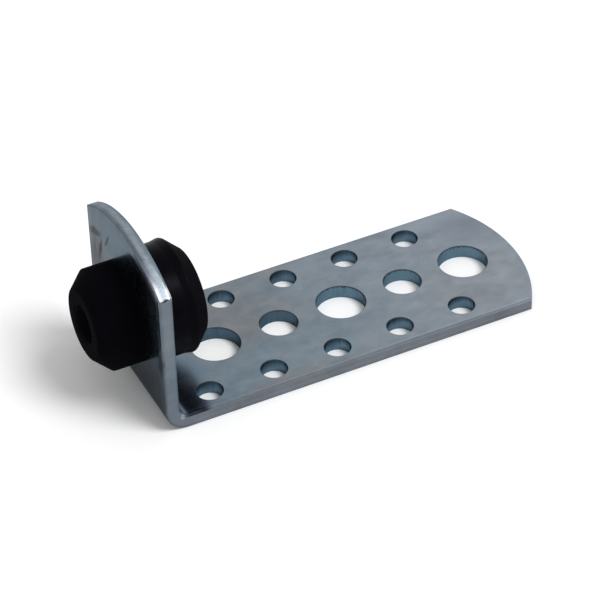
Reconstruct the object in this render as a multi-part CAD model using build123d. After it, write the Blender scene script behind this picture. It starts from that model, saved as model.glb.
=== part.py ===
from build123d import *
import os

os.makedirs("parts", exist_ok=True)

# Acoustic hanger: a folded steel strip whose short leg carries a moulded rubber isolator.
# All sizes are in millimetres. +X runs along the long leg, +Y across the strip, +Z up the short leg.
# The origin is where the isolator's axis crosses the outer face of the short leg.

# Steel strip
strip_width = 35.0
strip_thickness = 3.0
outside_edge_round = 0.25  # of the strip's edges on the outside of the bend
inside_edge_round = 0.72  # of the edges on the inside of the bend, where the shears drew the metal over
long_leg_length = 88.0  # from the short leg's outer face to the crown of the end arc
short_leg_height = 38.8  # from the long leg's underside to the crown of the end arc
end_arc_rise = 5.2  # how far the crown of an end arc stands beyond its two corners
bend_inner_radius = 2.0

# Holes punched in the long leg: two side rows of small holes, and between them a centre row
# set half a pitch further on, where large and medium holes take turns
small_hole_diameter = 5.5
medium_hole_diameter = 8.0
large_hole_diameter = 10.4
drawn_rim = 0.12  # the punch draws the top rim of each hole in by this much
hole_pitch = 14.33
holes_per_row = 5
side_row_offset = 12.6  # from the strip's centre line
first_hole_distance = 11.6  # from the short leg's outer face to the first small holes

# Seat of the isolator in the short leg
isolator_height = 19.0  # from the long leg's underside to the isolator's axis
seat_hole_diameter = 18.0
waist_clearance = 0.15  # all round, between the seat hole and the isolator's waist

# Isolator, moulded in one piece: a flange on each side of the leg, each with a conical nose
outer_flange_diameter = 21.3
outer_flange_length = 6.0
outer_nose_length = 3.4
outer_nose_diameter = 14.8  # of its end face
inner_flange_diameter = 23.3
inner_flange_length = 5.8
lip_length = 1.8  # flared band between the inner flange and its nose
lip_height = 0.35  # how far the lip flares out beyond the flange
inner_nose_length = 3.2
inner_nose_diameter = 17.8
rod_bore_diameter = 8.2  # clears an M8 rod
shoulder_round = 0.3
lip_round = 0.7
nose_edge_bevel = 0.25
bore_mouth_bevel = 0.4

bend_outer_radius = bend_inner_radius + strip_thickness
underside = -isolator_height  # height of the long leg's underside in the part's frame
long_leg_top = underside + strip_thickness


def leg(length):
    """One leg lying flat, inside of the bend upwards: square at the bend, with a shallow arc at its end."""
    half = strip_width / 2
    corner = length - end_arc_rise
    sides = Polyline((corner, half), (0, half), (0, -half), (corner, -half))
    end_arc = ThreePointArc((corner, -half), (length, 0), (corner, half))
    plate = extrude(make_face(sides.edges() + end_arc.edges()), strip_thickness)
    plate = fillet(edges_around(plate.faces().sort_by(Axis.Z)[0]), outside_edge_round)
    return fillet(edges_around(plate.faces().sort_by(Axis.Z)[-1]), inside_edge_round)


def edges_around(face):
    """The edges of a leg's flat face, except the one at the bend."""
    return face.edges() - face.edges().group_by(Axis.X)[0]


def bend():
    """Quarter turn that joins the legs: the strip's rounded section turned about the bend's axis."""
    middle_radius = bend_inner_radius + strip_thickness / 2
    section = Pos(-middle_radius, 0) * Rectangle(strip_thickness, strip_width)
    section = fillet(section.vertices().group_by(Axis.X)[0], outside_edge_round)
    section = fillet(section.vertices().group_by(Axis.X)[-1], inside_edge_round)
    return Pos(bend_outer_radius, 0, underside + bend_outer_radius) * revolve(section, -Axis.Y, 90)


def hole_places(row_start, row_side):
    """Centres of one row of holes, on the long leg's top face."""
    along = [row_start + number * hole_pitch for number in range(holes_per_row)]
    return [Pos(x, row_side, long_leg_top) for x in along]


def punched(plate, diameter, places):
    """The plate with round holes through its long leg, each with its top rim drawn in."""
    radius = diameter / 2
    for place in places:
        through = Cylinder(radius, strip_thickness * 4)
        rim = Pos(0, 0, -drawn_rim / 2) * Cone(radius, radius + drawn_rim, drawn_rim)
        plate -= place * (through + rim)
    return plate


def bracket():
    long_leg = Pos(bend_outer_radius, 0, underside) * leg(long_leg_length - bend_outer_radius)
    upright = Plane((0, 0, underside + bend_outer_radius), x_dir=(0, 0, 1), z_dir=(1, 0, 0))
    short_leg = upright * leg(short_leg_height - bend_outer_radius)
    plate = long_leg + bend() + short_leg
    for side in (-side_row_offset, side_row_offset):
        plate = punched(plate, small_hole_diameter, hole_places(first_hole_distance, side))
    centre_row = hole_places(first_hole_distance + hole_pitch / 2, 0)
    plate = punched(plate, large_hole_diameter, centre_row[0::2])
    plate = punched(plate, medium_hole_diameter, centre_row[1::2])
    seat_hole = Rot(0, 90, 0) * Cylinder(seat_hole_diameter / 2, strip_thickness * 4)
    return plate - seat_hole


def isolator():
    """One turned profile, from the outer nose along its outside to the inner nose and back through the bore."""
    bore = rod_bore_diameter / 2
    waist = seat_hole_diameter / 2 - waist_clearance
    outer_flange = outer_flange_diameter / 2
    inner_flange = inner_flange_diameter / 2
    outer_shoulder = (-outer_flange_length, outer_flange)
    outer_end = -outer_flange_length - outer_nose_length
    lip_start = strip_thickness + inner_flange_length
    lip_edge = (lip_start + lip_length, inner_flange + lip_height)
    inner_end = lip_start + lip_length + inner_nose_length
    bore_mouths = [(outer_end, bore), (inner_end, bore)]
    nose_edges = [(outer_end, outer_nose_diameter / 2), (inner_end, inner_nose_diameter / 2)]
    points = [
        bore_mouths[0],
        nose_edges[0],
        outer_shoulder,
        (0, outer_flange),
        (0, waist),
        (strip_thickness, waist),
        (strip_thickness, inner_flange),
        (lip_start, inner_flange),
        lip_edge,
        nose_edges[1],
        bore_mouths[1],
    ]
    section = make_face(Polyline(points, close=True).edges())
    section = fillet(corners_at(section, [outer_shoulder]), shoulder_round)
    section = fillet(corners_at(section, [lip_edge]), lip_round)
    section = chamfer(corners_at(section, nose_edges), nose_edge_bevel)
    section = chamfer(corners_at(section, bore_mouths), bore_mouth_bevel)
    return revolve(Plane.XZ * section, Axis.X)


def corners_at(section, points):
    """The section's corners at these points."""
    return [section.vertices().sort_by_distance(point)[0] for point in points]


export_step(bracket(), "parts/bracket.step")
export_step(isolator(), "parts/isolator.step")
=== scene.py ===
import math

import bpy
from mathutils import Matrix, Vector


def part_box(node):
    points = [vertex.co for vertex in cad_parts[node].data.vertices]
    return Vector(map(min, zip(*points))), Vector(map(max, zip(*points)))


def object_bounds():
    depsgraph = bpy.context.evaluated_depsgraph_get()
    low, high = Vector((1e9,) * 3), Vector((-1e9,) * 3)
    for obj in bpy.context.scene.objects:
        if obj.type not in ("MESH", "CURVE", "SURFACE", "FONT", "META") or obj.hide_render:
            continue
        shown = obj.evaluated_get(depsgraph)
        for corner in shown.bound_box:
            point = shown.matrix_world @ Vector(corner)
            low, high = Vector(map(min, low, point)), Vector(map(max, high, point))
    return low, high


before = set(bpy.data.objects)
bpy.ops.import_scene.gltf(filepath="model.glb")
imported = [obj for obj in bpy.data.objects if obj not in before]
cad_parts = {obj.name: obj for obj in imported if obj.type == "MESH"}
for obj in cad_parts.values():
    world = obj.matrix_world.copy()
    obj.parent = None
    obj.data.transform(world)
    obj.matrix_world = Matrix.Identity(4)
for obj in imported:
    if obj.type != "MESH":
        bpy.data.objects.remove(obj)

CAD_LOW, CAD_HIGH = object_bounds()

# Camera, as the photograph was taken: metres and degrees, in the hanger's own frame
CAMERA_TARGET = Vector((0.034854, -0.006892, -0.005714))
CAMERA_DISTANCE = 0.61103
CAMERA_AZIMUTH = -25.189
CAMERA_ELEVATION = 39.185
CAMERA_ROLL = -1.830
CAMERA_LENS = 181.80
CAMERA_SENSOR = 36.0

# Studio: a wide soft lamp high over the camera's right shoulder, and an even white surround
KEY_DIRECTION = Vector((0.33, -0.42, 0.85))
KEY_WIDTH = math.radians(26)
KEY_STRENGTH = 2.0
FILL_STRENGTH = 0.64
SURROUND_STRENGTH = 1.0
WHITE = (1, 1, 1, 1)
FLOOR_WHITE = (0.94, 0.94, 0.94, 1)
FLOOR_SIZE = 6.0

# The strip, in millimetres, as the finish has to know it: X runs along the long leg, Y across the strip
# and Z up the short leg, and its outer face is the one on the outside of the bend
MILLIMETRES = 1000  # in a metre
BRACKET_LOW, BRACKET_HIGH = (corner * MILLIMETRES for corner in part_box("bracket"))
THICKNESS = 3.0
HALF_WIDTH = BRACKET_HIGH.y
LONG_LEG_TOP = BRACKET_LOW.z + THICKNESS
BEND_INNER_RADIUS = 2.0
BEND_OUTER_RADIUS = BEND_INNER_RADIUS + THICKNESS
BEND_AXIS = {"X": BEND_OUTER_RADIUS, "Z": LONG_LEG_TOP + BEND_INNER_RADIUS}  # the bend turns about it
END_ARC_RISE = 5.2  # how far the short leg's end arc rises above its two corners
END_ARC_RADIUS = (HALF_WIDTH**2 + END_ARC_RISE**2) / (2 * END_ARC_RISE)
END_ARC_CENTRE = BRACKET_HIGH.z - END_ARC_RADIUS  # its Z
SMOOTH_ANGLE = math.radians(50)  # a sharper edge stays an edge
LARGEST_FACES_FIRST = 100  # weight by which flat faces keep their own normals

# Zinc plating: blue in places, greyer in others, and paler towards the long leg's end
ZINC_BLUE = (0.150, 0.216, 0.268, 1)
ZINC_GREY = (0.178, 0.188, 0.200, 1)
ZINC_PALE = (0.275, 0.308, 0.350, 1)
# painted shade: darkens the low part of the short leg's outer face
ZINC_LOW_SHADE = (0.080, 0.072, 0.076, 1)
ZINC_WORN = (0.150, 0.140, 0.165, 1)
ZINC_GRAZING = (0.50, 0.51, 0.52, 1)  # its tint where it is seen at a shallow angle

# Its thin films, and painted reflections in violet, slate and plum
# painted reflection: violet and slate stand for the dark reflection in the top face by the bend
ZINC_VIOLET = (0.095, 0.105, 0.190, 1)
ZINC_SLATE = (0.122, 0.184, 0.246, 1)
ZINC_CLOUDED = (0.194, 0.224, 0.271, 1)
ZINC_CLEAR = (0.285, 0.335, 0.385, 1)
# painted reflection: plum tints the rubber's dark reflection on the outer face
ZINC_PLUM = (0.13, 0.09, 0.17, 1)

# Its edges, from the sheared sides to the end arc's fresh cut, and the rounded borders between the faces,
# with painted highlights and painted shade among them
ZINC_SHEARED = (0.152, 0.168, 0.193, 1)
# dull worn edges, and also painted shade along the end arc's outer border
ZINC_DULL_EDGE_AND_SHADE = (0.070, 0.085, 0.104, 1)
ZINC_BRIGHT_CUT = (0.275, 0.320, 0.360, 1)
# painted highlight: whitens the sides of the end arc's near corner
ZINC_CORNER_HIGHLIGHT = (0.320, 0.335, 0.355, 1)
ZINC_ROUND = (0.085, 0.091, 0.103, 1)
# painted highlight: the colour of the glints on the rounds
ZINC_GLINT_PAINT = (0.43, 0.466, 0.488, 1)
# painted shade: the inner round darkened in the crease by the bend
ZINC_CREASE_SHADE = (0.014, 0.018, 0.026, 1)

# Its punched holes
ZINC_RIM = (0.030, 0.040, 0.052, 1)
ZINC_PUNCHED = (0.105, 0.178, 0.235, 1)
ZINC_PUNCHED_DEEP = (0.036, 0.062, 0.090, 1)

# Marks of wear and dust, and painted light: a dark reflection, a burr's shadow and two highlights
RUB_GREY = (0.165, 0.162, 0.165, 1)
RUB_DARK = (0.055, 0.054, 0.060, 1)
# painted reflection: the dark of the rubber's reflection, laid low on the short leg's outer face
REFLECTION_DARK = (0.020, 0.020, 0.023, 1)
# painted shadow: the dark line under a small burr at the end arc's near corner
BURR_SHADOW_BLACK = (0.012, 0.012, 0.016, 1)
# painted highlight: the corner's highlight carried down onto the lip below it
HIGHLIGHT_STEEL = (0.56, 0.57, 0.58, 1)
# painted highlight: near white, on the end arc's inner border by its near corner
HIGHLIGHT_WHITE = (0.86, 0.87, 0.88, 1)
DUST = (0.20, 0.19, 0.18, 1)

# Oval marks on the strip, in millimetres: centre, half sizes, and tilt about X in degrees
GREY_PATCHES = [
    ((23, 5, LONG_LEG_TOP), (20, 15, 5), 0),
    ((77, -8, LONG_LEG_TOP), (18, 12, 5), 0),
    ((30, -20, LONG_LEG_TOP), (26, 6, 5), 0),
    ((38, 19, LONG_LEG_TOP), (16, 6, 5), 0),
]
INNER_FILMS_AND_REFLECTIONS = [
    # the first two are painted reflection by the bend; the last two are films
    (ZINC_VIOLET, ((7, -13, LONG_LEG_TOP), (8, 7, 5), 0)),
    (ZINC_SLATE, ((9.5, -4.5, LONG_LEG_TOP), (8, 7, 5), 0)),
    (ZINC_CLOUDED, ((82, 10, LONG_LEG_TOP), (8, 7, 5), 0)),
    (ZINC_CLEAR, ((73, 15.5, LONG_LEG_TOP), (9, 4.5, 5), 0)),
]
BEND_HAZE = ((9.5, -5.5, LONG_LEG_TOP), (8, 8, 5), 0)
# painted reflection: where the rubber's reflection lies on the outer face
FLANGE_REFLECTION = ((0, -9.5, 15.0), (1.5, 7.5, 5.5), 0)
WORN_PATCH = ((0, 14.3, 3.9), (1, 4.6, 7.8), 14)
RUB_STREAKS = [
    ((0, 14.4, 10.2), (1, 5.2, 1.3), -21.5),
    ((0, 11.6, 7.6), (1, 0.95, 4.4), 20.8),
    ((0, 7.7, 12.2), (1, 0.60, 3.4), 31.6),
]
# painted reflection: the rubber's dark reflection drawn lower on the outer face by its near edge
LOW_REFLECTION = ((0, -16.2, -1.6), (1, 1.9, 5.2), 0)
# painted highlights: glints on the inner bend's near edge and on the end arc's inner border
GLINTS = [
    ((3.5, -17.4, -15.95), (0.68, 0.8, 0.88), 0),
    ((2.7, -16.4, 15.2), (0.9, 2.6, 1.9), 0),
]
# painted highlight on the end arc's inner border at its near corner
BORDER_HIGHLIGHT = ((2.88, -16.2, 15.45), (0.6, 1.9, 0.8), 31.3)
# painted highlight on the lip below the end arc's near corner
LIP_HIGHLIGHT = ((2.15, -17.4, 15.0), (1.0, 0.5, 0.55), 0)
# painted shadow under a burr at the end arc's near corner
BURR_SHADOW = ((1.6, -17.4, 14.5), (1.2, 0.4, 0.42), 0)

# Areas of the strip, each a list of steps: a measure, the two values of it between which the area fades in
# and, where they aren't 0 and 1, its strengths at the two. strip_measures tells what each measure is.
LONG_LEG = [("x", 3.0, 8.0)]
SHORT_LEG = [("x", 8.0, 3.0)]
OUTER_FACE = [("facing", 0.5, 0.8)]
OUTER_FACE_AND_ROUND = [("facing", 0.3, 0.8)]
INNER_FACE = [("facing", -0.90, -0.98)]
SHEARED = [("flatness", 0.35, 0.10)]
OUTER_ROUND = [("flatness", 0.10, 0.22), ("flatness", 1.00, 0.88), ("facing", 0.0, 0.1)]
INNER_ROUND = [("facing", -0.15, -0.62), ("facing", -0.99, -0.90)]
TOWARDS_END = [("x", 0.0, 95.0)]
# painted shade lies here: the low part of the outer face, by the bend
LOWER_OUTSIDE = [("z", 0.0, -10.0), ("from_outer", 0.6, 0.2), ("x", 6.0, 3.0)]
# painted light: the outer face made paler by the end arc's near corner
LIT_BY_CORNER = OUTER_FACE + [("from_arc", 2.6, 0.8), ("y", -10.0, -14.0), ("x", 1.0, 0.6)]
WORN_BY_ARC = OUTER_FACE + [("from_arc", 3.6, 1.2), ("y", -9.5, -4.5), ("y", 6.5, 1.5)]

# Parts of its sheared edges. The crown is the short leg's end arc, and its corner is the near one.
SHEARED_BORDERS = SHEARED + SHORT_LEG + [("z", 14.75, 14.40), ("from_middle", 0.6, 1.4)]
SHEARED_BY_BEND = SHEARED + SHORT_LEG + [("z", -8.0, -18.0)]
SHEARED_LINE = SHEARED + LONG_LEG + [("uneven_depth", 0.75, 1.25), ("uneven_depth", 1.45, 0.95)]
CROWN = SHEARED + [("z", 14.40, 14.75)]
CROWN_CORNER = CROWN + [("y", -12.2, -15.3)]
CROWN_OFF_CORNER = CROWN + [("y", -15.3, -12.2)]
# painted shade: the end arc's outer border, as a rolled edge would be shaded
CROWN_ROLL_SHADE = CROWN + [("uneven_depth", 0.95, 0.40), ("y", -14.0, -8.0), ("y", 9.0, -6.0)]
CROWN_INNER_BORDER = CROWN + [("uneven_depth", 1.2, 2.2), ("y", -12.0, -9.0), ("y", -2.0, -5.0)]

# Its punched holes: off_centre past 9.5 is a side row, and y past 9.5 the far one
AROUND_HOLES = [("off_centre", 16.6, 16.3), ("x", 7.5, 8.0), ("x", 82.0, 81.5)]
SMALL_HOLE_SHADE = [("off_centre", 9.3, 9.5), ("x", 80.0, 20.0, 1.2, 2.1), ("y", 9.3, 9.5, 1.0, 1.4)]
WALL_FACING_BEND = [("x", 12.0, 26.0, 1.0, 0.62)]
CENTRE_HOLES_BY_BEND = [("x", 42.0, 36.0), ("off_centre", 9.5, 6.0)]

# Its rounded inner borders, which dull in two stages as they turn away from the inner face, and its bend
INNER_BORDERS = [
    ("off_centre", 16.2, 16.8),
    ("x", 3.0, 6.0, 0.44, 1.0),
    ("x", 40.0, 52.0, 1.0, 1.12),
    ("x", 66.0, 76.0, 1.0, 0.82),
    ("x", 83.0, 82.5),
    ("z", 14.8, 14.3),
]
FIRST_TURN = [("facing", -1.0, -0.91, 0.0, 0.47)]
FURTHER_TURN = [("facing", -0.80, -0.50, 0.0, 0.20)]
INNER_TO_OUTER = (0.0, 0.2)  # facing, from the inner rounds to the outer ones
OUTER_DULLING = 0.38
# painted shade lies here, on the inner round by the bend
CREASE_SHADE = [("x", 2.88, 5.28), ("x", 10.6, 8.2), ("facing", -0.22, -0.42), ("off_centre", 16.6, 16.9)]
STRETCHED = [("x", 16.0, 5.0)]
BEND_INSIDE = [("x", 6.5, 3.8), ("facing", 0.0, -0.3)]
DRAWN_OVER = [("facing", 0.0, -0.1), ("x", 6.0, 9.0)]

# Coats laid over the plating, in their order: colour, area and strength
OUTSIDE_COATS = [
    # painted shade, low on the outer face
    (ZINC_LOW_SHADE, LOWER_OUTSIDE, 0.62),
    # painted light, by the end arc's near corner
    (ZINC_PALE, LIT_BY_CORNER, 0.9),
    (ZINC_WORN, WORN_BY_ARC, 0.32),
]
EDGE_COATS = [
    (ZINC_SHEARED, SHEARED + [("x", 3.0, 8.0, 0.6, 1.0)], 1.0),
    (ZINC_DULL_EDGE_AND_SHADE, SHEARED_BORDERS, 0.3),
    (ZINC_DULL_EDGE_AND_SHADE, SHEARED_BY_BEND, 0.25),
    (ZINC_PALE, SHEARED_LINE, 0.3),
    (ZINC_BRIGHT_CUT, CROWN_OFF_CORNER + [("uneven_depth", 0.6, 1.4), ("uneven_depth", 2.6, 1.8)], 0.75),
    (ZINC_BRIGHT_CUT, CROWN_CORNER + [("from_middle", 0.95, 0.35)], 0.22),
    # painted highlight at the end arc's near corner
    (ZINC_CORNER_HIGHLIGHT, CROWN_CORNER + [("from_middle", 0.35, 0.95)], 0.9),
    # painted shade on the end arc's outer border
    (ZINC_DULL_EDGE_AND_SHADE, CROWN_ROLL_SHADE, 0.70),
    (ZINC_PALE, CROWN + [("y", 7.0, 14.0)], 0.28),
    (ZINC_DULL_EDGE_AND_SHADE, CROWN_CORNER + [("uneven_depth", 0.6, 0.2)], 0.4),
    (ZINC_DULL_EDGE_AND_SHADE, CROWN_INNER_BORDER, 0.22),
]

# The dark shade that reaches down the hole walls from their top, in millimetres
SHADE_FROM = 0.1
SHADE_BLUR = 0.6
WALL_TURN = (-0.9, 0.15)  # X of the normal, from the wall that faces the bend to the one that faces the end
WALL_FACING_END = 1.3  # how much further the shade reaches there
CENTRE_HOLES_SHADE = 0.6  # how dark the centre holes near the bend are all over

# Clouds, relief and gloss of the strip: distances in millimetres, depths of relief in metres
CLOUD_GREYING = 0.65
PATCH_GREYING = 0.75
END_PALING = 0.85
EDGE_WANDER = 0.6  # how far the lines along the sheared edges stray
ROLLED_EDGE = 2.2  # the outer face bends away over this distance from its sheared edges
ROLLED_DEPTH = 0.00015
SWELL_DEPTH = 0.00003
PLATING_GRAIN_DEPTH = 0.000004
PLATING_ROUGHNESS = 0.20

# Rubber: places in millimetres from the bore's axis or along it, depth of relief in metres
BORE_RADIUS = 4.1
BORE_MOUTH = (BORE_RADIUS + 0.5, BORE_RADIUS)
OUTER_SIDE = (1.0, -1.0)
INNER_NOSE = (10.3, 11.0)
INNER_NOSE_MATTING = 0.7  # of that on the outer side
RUBBER_BLACK = (0.0012, 0.0012, 0.0018, 1)
RUBBER_BLOOM = (0.0024, 0.0024, 0.0036, 1)
# scuffs and worn edges, and painted light that lifts the shade inside the bore
RUBBER_SCUFF_AND_BORE_LIGHT = (0.010, 0.010, 0.012, 1)
RUBBER_SHEEN = (0.76, 0.76, 1.0, 1)
RUBBER_SPECULAR = 0.024
RUBBER_ROUGHNESS = 0.36
RUBBER_MATTING = 0.64
RUBBER_GRAIN_DEPTH = 0.000012


def feed(tree, socket, value):
    """Links a socket to an input, or sets the input's own value."""
    if isinstance(value, bpy.types.NodeSocket):
        tree.links.new(value, socket)
    else:
        socket.default_value = value


def add(tree, kind, settings=None, **inputs):
    """A new shader node. A setting names a property, and an input is named with _ for each space."""
    made = tree.nodes.new("ShaderNode" + kind)
    for name, value in (settings or {}).items():
        setattr(made, name, value)
    for name, value in inputs.items():
        feed(tree, made.inputs[name.replace("_", " ")], value)
    return made


def maths(tree, operation, *values):
    made = add(tree, "Math", {"operation": operation})
    for socket, value in zip(made.inputs, values):
        feed(tree, socket, value)
    return made.outputs[0]


def vector_maths(tree, operation, *values):
    """A number where the operation is a length or a dot product, and otherwise a vector."""
    made = add(tree, "VectorMath", {"operation": operation})
    for socket, value in zip(made.inputs, values):
        feed(tree, socket, value)
    return made.outputs["Value" if operation in ("LENGTH", "DOT_PRODUCT") else "Vector"]


def product(tree, *values):
    result = values[0]
    for value in values[1:]:
        result = maths(tree, "MULTIPLY", result, value)
    return result


def total(tree, *values):
    result = values[0]
    for value in values[1:]:
        result = maths(tree, "ADD", result, value)
    return result


def weighted(tree, values, weights):
    """The values added up, each times its own weight."""
    return total(tree, *(product(tree, value, weight) for value, weight in zip(values, weights)))


def opposite(tree, mask):
    """1 where the mask is 0, and 0 where it is 1."""
    return maths(tree, "SUBTRACT", 1.0, mask)


def soft_step(tree, value, low, high, at_low=0.0, at_high=1.0):
    """Goes smoothly from at_low to at_high while the value goes from low to high."""
    made = add(tree, "MapRange", {"interpolation_type": "SMOOTHSTEP"}, Value=value)
    limits = {"From Min": low, "From Max": high, "To Min": at_low, "To Max": at_high}
    for name, number in limits.items():
        feed(tree, made.inputs[name], number)
    return made.outputs[0]


def mixed(tree, factor, first, second, blend_type="MIX"):
    """The first colour where the factor is 0 and the second where it is 1."""
    made = add(tree, "Mix", {"data_type": "RGBA", "blend_type": blend_type})
    feed(tree, made.inputs[0], factor)
    feed(tree, made.inputs[6], first)
    feed(tree, made.inputs[7], second)
    return made.outputs[2]


def noise(tree, vector, scale, detail=2.0, distortion=0.0):
    made = add(tree, "TexNoise", Vector=vector, Scale=scale, Detail=detail, Distortion=distortion)
    return made.outputs["Fac"]


def separated(tree, vector):
    """The X, Y and Z of a vector."""
    return add(tree, "SeparateXYZ", Vector=vector).outputs


def own_normal(tree):
    return add(tree, "NewGeometry").outputs["Normal"]


def relief(tree, height, depth, strength=1.0, over=None):
    """The normal of a surface with this height on it, over another relief where one is given."""
    made = add(tree, "Bump", Height=height, Distance=depth, Strength=strength)
    if over is not None:
        feed(tree, made.inputs["Normal"], over)
    return made.outputs[0]


def tone_of(tree, value, depth):
    """A number about 1 to multiply a colour by, from a noise about a half."""
    return total(tree, 1.0, product(tree, maths(tree, "SUBTRACT", value, 0.5), depth))


def toned(tree, colour, tone):
    return mixed(tree, 1.0, colour, tone, "MULTIPLY")


def laid_over(tree, colour, over, *masks, strength=1.0):
    """The colour with another laid over it where all the masks say."""
    return mixed(tree, product(tree, *masks, strength), colour, over)


def new_group(name, inputs, outputs):
    """An empty node group: its inputs as (name, kind, value) and its outputs as (name, kind)."""
    group = bpy.data.node_groups.new(name, "ShaderNodeTree")
    for label, kind, value in inputs:
        socket = group.interface.new_socket(label, in_out="INPUT", socket_type="NodeSocket" + kind)
        if value is not None:
            socket.default_value = value
    for label, kind in outputs:
        group.interface.new_socket(label, in_out="OUTPUT", socket_type="NodeSocket" + kind)
    entry = group.nodes.new("NodeGroupInput")
    end = group.nodes.new("NodeGroupOutput")
    return group, entry.outputs, end.inputs


def place(tree, group, **inputs):
    """Puts a group into a material with its own values, and gives its outputs."""
    made = tree.nodes.new("ShaderNodeGroup")
    made.node_tree = group
    for name, value in inputs.items():
        feed(tree, made.inputs[name.replace("_", " ")], value)
    return made.outputs


def clouding_group():
    """Soft patches, as in plating and on moulded rubber: a mask of them and a tone about 1."""
    group, given, result = new_group(
        "clouding",
        [
            ("Vector", "Vector", None),
            ("Size", "Float", 10.0),
            ("Sharpness", "Float", 0.5),
            ("Depth", "Float", 0.3),
        ],
        [("Mask", "Float"), ("Tone", "Float")],
    )
    scale = maths(group, "DIVIDE", 1.0, given["Size"])
    layers = [
        noise(group, given["Vector"], product(group, scale, finer), detail=3.0, distortion=distortion)
        for finer, distortion in ((1.0, 0.8), (2.3, 0.5), (6.0, 0.2))
    ]
    cover = weighted(group, layers, (0.60, 0.26, 0.14))
    reach = product(group, opposite(group, given["Sharpness"]), 0.36)
    low = maths(group, "SUBTRACT", 0.5, reach)
    high = total(group, 0.5, reach)
    feed(group, result["Mask"], soft_step(group, cover, low, high))
    spread = maths(group, "SUBTRACT", weighted(group, layers, (0.7, 1.6, 0.7)), 1.5)
    feed(group, result["Tone"], total(group, 1.0, product(group, spread, given["Depth"])))
    return group


def grain_group():
    """Fine pitting of a surface, for its relief."""
    group, given, result = new_group(
        "grain",
        [("Vector", "Vector", None), ("Size", "Float", 0.4)],
        [("Height", "Float")],
    )
    scale = maths(group, "DIVIDE", 1.0, given["Size"])
    smooth = {"feature": "SMOOTH_F1"}
    pits = add(group, "TexVoronoi", smooth, Vector=given["Vector"], Scale=scale, Smoothness=0.6)
    rough = noise(group, given["Vector"], product(group, scale, 1.9), detail=3.0)
    height = total(group, product(group, pits.outputs["Distance"], 0.6), rough)
    feed(group, result["Height"], product(group, height, 0.62))
    return group


def edge_wear_group():
    """Edges that handling has rubbed, broken up along their length."""
    group, given, result = new_group(
        "edge_wear",
        [("Vector", "Vector", None), ("Radius", "Float", 0.0004), ("Breakup", "Float", 4.0)],
        [("Mask", "Float")],
    )
    rounded = add(group, "Bevel", {"samples": 6}, Radius=given["Radius"])
    agreement = vector_maths(group, "DOT_PRODUCT", rounded.outputs["Normal"], own_normal(group))
    edge = soft_step(group, agreement, 0.995, 0.80)
    scale = maths(group, "DIVIDE", 1.0, given["Breakup"])
    broken = noise(group, given["Vector"], scale, detail=4.0, distortion=0.3)
    feed(group, result["Mask"], product(group, edge, soft_step(group, broken, 0.36, 0.62)))
    return group


def scratches_group():
    """Thin short scratches that run one way."""
    group, given, result = new_group(
        "scratches",
        [
            ("Vector", "Vector", None),
            ("Stretch", "Vector", (0.05, 2.0, 2.0)),
            ("Cover", "Float", 0.3),
        ],
        [("Mask", "Float")],
    )
    along = vector_maths(group, "MULTIPLY", given["Vector"], given["Stretch"])
    lines = noise(group, along, scale=1.0, distortion=0.2)
    from_line = maths(group, "ABSOLUTE", maths(group, "SUBTRACT", lines, 0.5))
    thin = soft_step(group, from_line, 0.012, 0.0)
    where = noise(group, along, scale=0.31, distortion=1.0)
    limit = maths(group, "SUBTRACT", 0.75, product(group, given["Cover"], 0.5))
    some = soft_step(group, where, limit, total(group, limit, 0.08))
    feed(group, result["Mask"], product(group, thin, some))
    return group


def dust_group():
    """Specks of dust that settle on faces turned up."""
    group, given, result = new_group(
        "dust",
        [("Vector", "Vector", None), ("Size", "Float", 0.5), ("Cover", "Float", 0.2)],
        [("Mask", "Float")],
    )
    up = soft_step(group, separated(group, own_normal(group))["Z"], 0.1, 0.9)
    scale = maths(group, "DIVIDE", 1.0, given["Size"])
    specks = add(group, "TexVoronoi", Vector=given["Vector"], Scale=scale)
    size = product(group, given["Cover"], 0.45)
    spots = soft_step(group, specks.outputs["Distance"], size, 0.0)
    kept = soft_step(group, separated(group, specks.outputs["Color"])["X"], 0.55, 0.75)
    feed(group, result["Mask"], product(group, up, spots, kept))
    return group


def new_material(name):
    material = bpy.data.materials.new(name)
    material.use_nodes = True
    tree = material.node_tree
    return material, tree, tree.nodes["Principled BSDF"]


def place_in_millimetres(tree):
    """The place on the object, in its own frame, in millimetres."""
    in_metres = add(tree, "TexCoord").outputs["Object"]
    return vector_maths(tree, "MULTIPLY", in_metres, [MILLIMETRES] * 3)


def stretched_place(tree, point, along_x, along_y, along_z):
    """The place with each of its parts multiplied, for a noise that is longer one way than another."""
    return vector_maths(tree, "MULTIPLY", point, (along_x, along_y, along_z))


def ragged(tree, point, size, reach):
    """The place moved about a little, so that what is drawn there has an uneven outline."""
    stray = add(tree, "TexNoise", Vector=point, Scale=1.0 / size, Detail=3.0)
    centred = vector_maths(tree, "SUBTRACT", stray.outputs["Color"], (0.5, 0.5, 0.5))
    return vector_maths(tree, "MULTIPLY_ADD", centred, (0, reach, reach), point)


def mark(tree, point, centre, half_sizes, tilt):
    """A soft oval mark on the strip."""
    in_mark = add(tree, "Mapping", {"vector_type": "TEXTURE"}, Vector=point)
    in_mark.inputs["Location"].default_value = centre
    in_mark.inputs["Rotation"].default_value = (math.radians(tilt), 0, 0)
    in_mark.inputs["Scale"].default_value = half_sizes
    return soft_step(tree, vector_maths(tree, "LENGTH", in_mark.outputs[0]), 1.0, 0.3)


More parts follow.
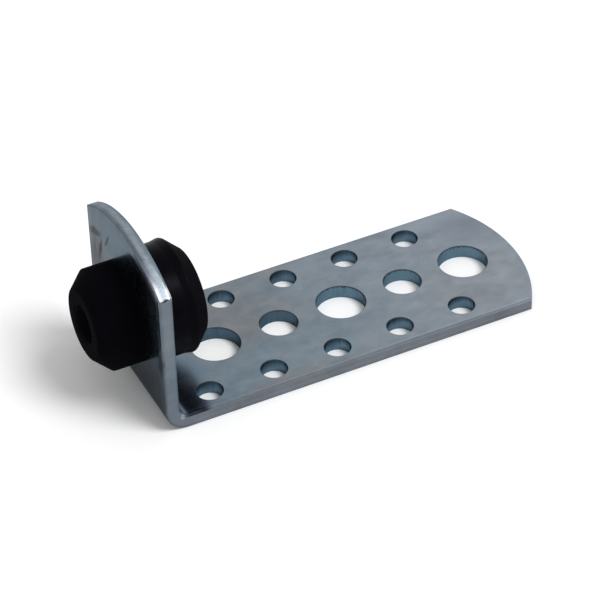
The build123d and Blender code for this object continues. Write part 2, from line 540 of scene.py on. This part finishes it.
def through_the_strip(tree, spot):
    """The direction across the strip's thickness, along both legs and round the bend, and how far it is
    from the outer face."""
    from_bend_axis = add(tree, "CombineXYZ")
    for axis, centre in BEND_AXIS.items():
        beyond = maths(tree, "MINIMUM", maths(tree, "SUBTRACT", spot[axis], centre), 0.0)
        feed(tree, from_bend_axis.inputs[axis], beyond)
    outwards = from_bend_axis.outputs[0]
    from_outer = maths(tree, "SUBTRACT", BEND_OUTER_RADIUS, vector_maths(tree, "LENGTH", outwards))
    return vector_maths(tree, "NORMALIZE", outwards), from_outer


def inside_arc(tree, spot):
    """How far a point of the short leg lies inside its end arc."""
    up_from_centre = maths(tree, "SUBTRACT", spot["Z"], END_ARC_CENTRE)
    from_centre = add(tree, "CombineXYZ", Y=spot["Y"], Z=up_from_centre).outputs[0]
    return maths(tree, "SUBTRACT", END_ARC_RADIUS, vector_maths(tree, "LENGTH", from_centre))


def strip_measures(tree, point):
    """What the areas of the strip are measured by, in millimetres apart from facing and flatness.

    x, y, z: the place
    off_centre: distance from the strip's centre line
    from_outer: depth below the outer face
    uneven_depth: that depth, made to wander a little
    from_middle: how far the uneven depth is from the middle of the thickness
    from_arc: distance inside the short leg's end arc
    facing: 1 on the outer face, -1 on the inner one, 0 on sheared edges and hole walls
    flatness: 1 on both faces, 0 on sheared edges and hole walls
    """
    spot = separated(tree, point)
    direction, from_outer = through_the_strip(tree, spot)
    facing = vector_maths(tree, "DOT_PRODUCT", direction, own_normal(tree))
    stray = maths(tree, "SUBTRACT", noise(tree, point, scale=0.25, detail=3.0), 0.5)
    uneven_depth = total(tree, from_outer, product(tree, stray, EDGE_WANDER))
    from_middle = maths(tree, "ABSOLUTE", maths(tree, "SUBTRACT", uneven_depth, THICKNESS / 2))
    return {
        "x": spot["X"],
        "y": spot["Y"],
        "z": spot["Z"],
        "off_centre": maths(tree, "ABSOLUTE", spot["Y"]),
        "from_outer": from_outer,
        "uneven_depth": uneven_depth,
        "from_middle": from_middle,
        "from_arc": inside_arc(tree, spot),
        "facing": facing,
        "flatness": maths(tree, "ABSOLUTE", facing),
    }


def area(tree, measures, steps):
    """A mask of one of the strip's areas."""
    return product(tree, *(soft_step(tree, measures[name], *limits) for name, *limits in steps))


def coated(tree, colour, measures, coats):
    """The colour with a list of coats laid over it, one after another."""
    for coat, steps, strength in coats:
        colour = laid_over(tree, colour, coat, area(tree, measures, steps), strength=strength)
    return colour


def plated(tree, point, measures, clouds):
    """The plating's own colour, and on the outside painted shade low down, painted light by the end arc's
    near corner and a worn part.
    """
    patches = [product(tree, mark(tree, point, *patch), PATCH_GREYING) for patch in GREY_PATCHES]
    greyer = total(tree, product(tree, clouds["Mask"], CLOUD_GREYING), *patches)
    colour = mixed(tree, maths(tree, "MINIMUM", greyer, 1.0), ZINC_BLUE, ZINC_GREY)
    towards_end = area(tree, measures, TOWARDS_END)
    colour = laid_over(tree, colour, ZINC_PALE, towards_end, strength=END_PALING)
    return coated(tree, colour, measures, OUTSIDE_COATS)


def sheared_edges(tree, colour, point, measures):
    """The strip's cut edges: greyer, with a paler line on the long leg and duller borders on the short one,
    and speckled and brighter along the end arc, with painted shade on its outer border and a painted
    highlight at its near corner."""
    colour = coated(tree, colour, measures, EDGE_COATS)
    speckle = tone_of(tree, noise(tree, point, scale=2.6), depth=0.8)
    return laid_over(tree, colour, toned(tree, colour, speckle), area(tree, measures, CROWN))


def hole_walls(tree, point, measures):
    """The punched walls of the long leg's holes. They darken towards the top, furthest down in the small
    holes, the more so near the bend, in the far row and on the wall that faces the long leg's end, and the
    centre holes near the bend are darker all over."""
    punch_marks = noise(tree, stretched_place(tree, point, 1, 1, 0.15), scale=2.0, detail=3.0)
    uneven_top = total(tree, THICKNESS - 0.5, punch_marks)
    below_top = maths(tree, "SUBTRACT", uneven_top, measures["from_outer"])
    towards_end = separated(tree, own_normal(tree))["X"]
    facing_bend = area(tree, measures, WALL_FACING_BEND)
    round_wall = soft_step(tree, towards_end, *WALL_TURN, facing_bend, WALL_FACING_END)
    reach = product(tree, area(tree, measures, SMALL_HOLE_SHADE), round_wall)
    deep = soft_step(tree, below_top, total(tree, reach, SHADE_BLUR), SHADE_FROM)
    all_over = product(tree, area(tree, measures, CENTRE_HOLES_BY_BEND), CENTRE_HOLES_SHADE)
    wall = mixed(tree, maths(tree, "MAXIMUM", deep, all_over), ZINC_PUNCHED, ZINC_PUNCHED_DEEP)
    return toned(tree, wall, tone_of(tree, punch_marks, depth=0.3))


def edge_dulling(tree, point, measures):
    """How much the rounded borders dull: the outer ones evenly, and the inner ones by degrees as they turn
    to the sheared side, less on the short leg and not at all along the end arcs."""
    turned = total(tree, area(tree, measures, FIRST_TURN), area(tree, measures, FURTHER_TURN))
    uneven = tone_of(tree, noise(tree, point, scale=0.6, detail=3.0), depth=0.7)
    inner_dulling = product(tree, area(tree, measures, INNER_BORDERS), turned, uneven)
    return soft_step(tree, measures["facing"], *INNER_TO_OUTER, inner_dulling, OUTER_DULLING)


def rubbed(tree, colour, point):
    """The short leg's outer face, rubbed on its far side."""
    marks_at = ragged(tree, point, size=1.6, reach=1.0)
    patch = mark(tree, marks_at, *WORN_PATCH)
    grain = noise(tree, stretched_place(tree, point, 1, 3.2, 0.22), scale=1.0, detail=3.0)
    dark_grain = soft_step(tree, grain, 0.42, 0.68)
    pale_grain = soft_step(tree, grain, 0.46, 0.30)
    colour = laid_over(tree, colour, RUB_GREY, patch, strength=0.9)
    colour = laid_over(tree, colour, RUB_DARK, patch, dark_grain, strength=0.6)
    colour = laid_over(tree, colour, ZINC_PALE, patch, pale_grain, strength=0.35)
    for streak in RUB_STREAKS:
        colour = laid_over(tree, colour, RUB_DARK, mark(tree, marks_at, *streak), strength=0.9)
    return colour, patch


def painted_light_marks(tree, colour, point):
    """Painted light: a dark reflection low on the outer face, and at the end arc's near corner a painted
    highlight on its inner border and on a lip, and the painted shadow of a burr.
    """
    low_reflection = mark(tree, ragged(tree, point, size=1.6, reach=1.8), *LOW_REFLECTION)
    burr_shadow = mark(tree, ragged(tree, point, size=0.9, reach=0.7), *BURR_SHADOW)
    # painted reflection, dark, low on the outer face
    colour = laid_over(tree, colour, REFLECTION_DARK, low_reflection, strength=0.75)
    # painted highlight on the end arc's inner border
    colour = laid_over(tree, colour, HIGHLIGHT_WHITE, mark(tree, point, *BORDER_HIGHLIGHT), strength=0.9)
    # painted highlight on the lip
    colour = laid_over(tree, colour, HIGHLIGHT_STEEL, mark(tree, point, *LIP_HIGHLIGHT), strength=0.9)
    # painted shadow of the burr
    return laid_over(tree, colour, BURR_SHADOW_BLACK, burr_shadow, strength=0.95)


def plate_relief(tree, point, measures, grain):
    """The plate's slow swells, its fine grain, and the outer face bent away a little along its edges, where
    shearing dragged it."""
    waves = noise(tree, stretched_place(tree, point, 0.5, 1, 0.5), scale=0.09)
    swells = relief(tree, waves, SWELL_DEPTH)
    from_side = maths(tree, "SUBTRACT", HALF_WIDTH, measures["off_centre"])
    from_edge = maths(tree, "MINIMUM", measures["from_arc"], from_side)
    inside = soft_step(tree, from_edge, 0.0, ROLLED_EDGE)
    on_outer_face = area(tree, measures, OUTER_FACE_AND_ROUND)
    rolled = relief(tree, inside, ROLLED_DEPTH, on_outer_face, swells)
    pits = place(tree, grain, Vector=point, Size=0.45)["Height"]
    return relief(tree, pits, PLATING_GRAIN_DEPTH, over=rolled)


def zinc_plate(clouding, grain, edge_wear, scratches, dust):
    """The plating's colour with edges, holes, films, painted reflections, painted highlights, painted
    shade, wear and marks laid over it in turn, and its gloss.
    """
    material, tree, shader = new_material("zinc_plate")
    point = place_in_millimetres(tree)
    measures = strip_measures(tree, point)
    sheared = area(tree, measures, SHEARED)
    rounded = total(tree, area(tree, measures, OUTER_ROUND), area(tree, measures, INNER_ROUND))
    around_holes = area(tree, measures, AROUND_HOLES)
    by_flange = mark(tree, point, *FLANGE_REFLECTION)
    glint = total(tree, *(mark(tree, point, *place_of_glint) for place_of_glint in GLINTS))
    dull_rounds = product(tree, rounded, opposite(tree, glint))

    clouds_at = stretched_place(tree, point, 0.7, 1, 0.8)
    clouds = place(tree, clouding, Vector=clouds_at, Size=9.0, Sharpness=0.5, Depth=0.34)
    colour = plated(tree, point, measures, clouds)
    colour = sheared_edges(tree, colour, point, measures)
    colour = laid_over(tree, colour, hole_walls(tree, point, measures), sheared, around_holes)
    colour = toned(tree, colour, clouds["Tone"])
    # painted reflection of the rubber, in plum
    colour = laid_over(tree, colour, ZINC_PLUM, by_flange, strength=0.4)
    inner_face = area(tree, measures, INNER_FACE)
    # films, and painted reflection by the bend
    for overlay_colour, overlay_place in INNER_FILMS_AND_REFLECTIONS:
        overlay_mask = mark(tree, point, *overlay_place)
        colour = laid_over(tree, colour, overlay_colour, overlay_mask, inner_face, strength=0.58)

    fine_scratches = place(tree, scratches, Vector=point, Stretch=(0.12, 2.0, 2.0), Cover=0.35)
    colour = laid_over(tree, colour, ZINC_PALE, fine_scratches["Mask"], strength=0.25)
    wear = place(tree, edge_wear, Vector=point, Radius=0.0004, Breakup=5.0)
    colour = laid_over(tree, colour, ZINC_DULL_EDGE_AND_SHADE, wear["Mask"], strength=0.3)
    colour = laid_over(tree, colour, ZINC_ROUND, dull_rounds, edge_dulling(tree, point, measures))
    any_edge = maths(tree, "MAXIMUM", rounded, sheared)
    # painted highlights: the glints
    colour = laid_over(tree, colour, ZINC_GLINT_PAINT, any_edge, glint, strength=0.6)
    # painted shade in the crease by the bend
    colour = laid_over(tree, colour, ZINC_CREASE_SHADE, area(tree, measures, CREASE_SHADE), strength=0.96)
    colour = laid_over(tree, colour, ZINC_RIM, rounded, around_holes, strength=0.85)
    colour, patch = rubbed(tree, colour, point)
    # painted reflection, painted highlights and a painted shadow
    colour = painted_light_marks(tree, colour, point)
    settled = place(tree, dust, Vector=point, Size=2.6, Cover=0.3)
    colour = laid_over(tree, colour, DUST, settled["Mask"], strength=0.2)

    rougher_places = [
        (sheared, 0.10),
        (area(tree, measures, CROWN), 0.07),
        (dull_rounds, 0.36),
        (product(tree, dull_rounds, area(tree, measures, DRAWN_OVER)), 0.16),
        (by_flange, -0.035),
        (patch, 0.12),
        (area(tree, measures, STRETCHED), 0.035),
        (area(tree, measures, BEND_INSIDE), 0.12),
        (mark(tree, point, *BEND_HAZE), 0.05),
    ]
    roughness = product(tree, clouds["Tone"], PLATING_ROUGHNESS)
    for mask, rougher in rougher_places:
        roughness = total(tree, roughness, product(tree, mask, rougher))

    feed(tree, shader.inputs["Base Color"], colour)
    feed(tree, shader.inputs["Roughness"], roughness)
    feed(tree, shader.inputs["Normal"], plate_relief(tree, point, measures, grain))
    shader.inputs["Metallic"].default_value = 1.0
    shader.inputs["Specular Tint"].default_value = ZINC_GRAZING
    return material


def black_rubber(clouding, grain, edge_wear, scratches, dust):
    """Matt on the outer side of the leg and on the inner nose, and a little lighter inside the bore, which
    is painted light.
    """
    material, tree, shader = new_material("black_rubber")
    point = place_in_millimetres(tree)
    spot = separated(tree, point)
    bloom = place(tree, clouding, Vector=point, Size=6.0, Sharpness=0.2, Depth=0.5)
    colour = mixed(tree, bloom["Mask"], RUBBER_BLACK, RUBBER_BLOOM)
    scuffs = place(tree, scratches, Vector=point, Stretch=(1.2, 0.25, 0.6), Cover=0.4)
    colour = laid_over(tree, colour, RUBBER_SCUFF_AND_BORE_LIGHT, scuffs["Mask"], strength=0.3)
    wear = place(tree, edge_wear, Vector=point, Radius=0.0005, Breakup=3.0)
    colour = laid_over(tree, colour, RUBBER_SCUFF_AND_BORE_LIGHT, wear["Mask"], strength=0.15)
    specks = place(tree, dust, Vector=point, Size=1.1, Cover=0.2)
    colour = laid_over(tree, colour, DUST, specks["Mask"], strength=0.03)
    off_axis = add(tree, "CombineXYZ", Y=spot["Y"], Z=spot["Z"]).outputs[0]
    in_bore = soft_step(tree, vector_maths(tree, "LENGTH", off_axis), *BORE_MOUTH)
    # painted light inside the bore
    colour = laid_over(tree, colour, RUBBER_SCUFF_AND_BORE_LIGHT, in_bore, strength=0.4)

    outer_side = soft_step(tree, spot["X"], *OUTER_SIDE)
    inner_nose = soft_step(tree, spot["X"], *INNER_NOSE, 0.0, INNER_NOSE_MATTING)
    matt = product(tree, maths(tree, "MAXIMUM", outer_side, inner_nose), RUBBER_MATTING)
    roughness = total(tree, product(tree, bloom["Tone"], RUBBER_ROUGHNESS), matt)
    pits = place(tree, grain, Vector=point, Size=0.35)["Height"]

    feed(tree, shader.inputs["Base Color"], colour)
    feed(tree, shader.inputs["Roughness"], roughness)
    feed(tree, shader.inputs["Normal"], relief(tree, pits, RUBBER_GRAIN_DEPTH))
    shader.inputs["Specular IOR Level"].default_value = RUBBER_SPECULAR
    shader.inputs["Specular Tint"].default_value = RUBBER_SHEEN
    return material


def dress(name, material):
    """Gives a CAD node its material and clean shading: flat faces stay flat, and only rounds are smooth."""
    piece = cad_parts[name]
    mesh = piece.data
    mesh.materials.clear()
    mesh.materials.append(material)
    if "custom_normal" in mesh.attributes:
        mesh.attributes.remove(mesh.attributes["custom_normal"])
    mesh.shade_smooth()
    mesh.set_sharp_from_angle(angle=SMOOTH_ANGLE)
    weighted_normals = piece.modifiers.new("flat faces", "WEIGHTED_NORMAL")
    weighted_normals.keep_sharp = True
    weighted_normals.weight = LARGEST_FACES_FIRST


def floor():
    """A matt white plane under the hanger, which isn't part of it."""
    bpy.ops.mesh.primitive_plane_add(size=FLOOR_SIZE, location=(0, 0, CAD_LOW.z))
    plane = bpy.context.object
    plane.name = "studio_floor"
    material, _, shader = new_material("studio_floor")
    shader.inputs["Base Color"].default_value = FLOOR_WHITE
    shader.inputs["Roughness"].default_value = 1.0
    shader.inputs["Specular IOR Level"].default_value = 0.0
    plane.data.materials.append(material)


def surround():
    """Even white where the camera or a reflection looks, and softer where it only lights."""
    world = bpy.data.worlds.new("studio")
    bpy.context.scene.world = world
    world.use_nodes = True
    tree = world.node_tree
    rays = add(tree, "LightPath").outputs
    seen = maths(tree, "MAXIMUM", rays["Is Camera Ray"], rays["Is Glossy Ray"])
    seen = maths(tree, "MAXIMUM", seen, rays["Is Transmission Ray"])
    strength = soft_step(tree, seen, 0.0, 1.0, FILL_STRENGTH, SURROUND_STRENGTH)
    background = tree.nodes["Background"]
    background.inputs["Color"].default_value = WHITE
    feed(tree, background.inputs["Strength"], strength)


def key_lamp():
    """One far lamp, wide enough to give soft shadows."""
    lamp = bpy.data.lights.new("key", "SUN")
    lamp.angle = KEY_WIDTH
    lamp.energy = KEY_STRENGTH
    key = bpy.data.objects.new("key", lamp)
    bpy.context.scene.collection.objects.link(key)
    key.rotation_mode = "QUATERNION"
    key.rotation_quaternion = KEY_DIRECTION.to_track_quat("Z", "Y")


def camera():
    """Looks at the hanger from the photograph's side and height, with its slight roll."""
    data = bpy.data.cameras.new("camera")
    data.lens = CAMERA_LENS
    data.sensor_width = CAMERA_SENSOR
    turn = (
        Matrix.Rotation(math.radians(CAMERA_AZIMUTH), 4, "Z")
        @ Matrix.Rotation(math.radians(90 - CAMERA_ELEVATION), 4, "X")
        @ Matrix.Rotation(math.radians(CAMERA_ROLL), 4, "Z")
    )
    made = bpy.data.objects.new("camera", data)
    bpy.context.scene.collection.objects.link(made)
    back = turn.to_3x3() @ Vector((0, 0, 1))
    made.matrix_world = Matrix.Translation(CAMERA_TARGET + back * CAMERA_DISTANCE) @ turn
    bpy.context.scene.camera = made


effects = [clouding_group(), grain_group(), edge_wear_group(), scratches_group(), dust_group()]
dress("bracket", zinc_plate(*effects))
dress("isolator", black_rubber(*effects))
floor()
surround()
key_lamp()
camera()
bpy.context.scene.view_settings.view_transform = "Standard"
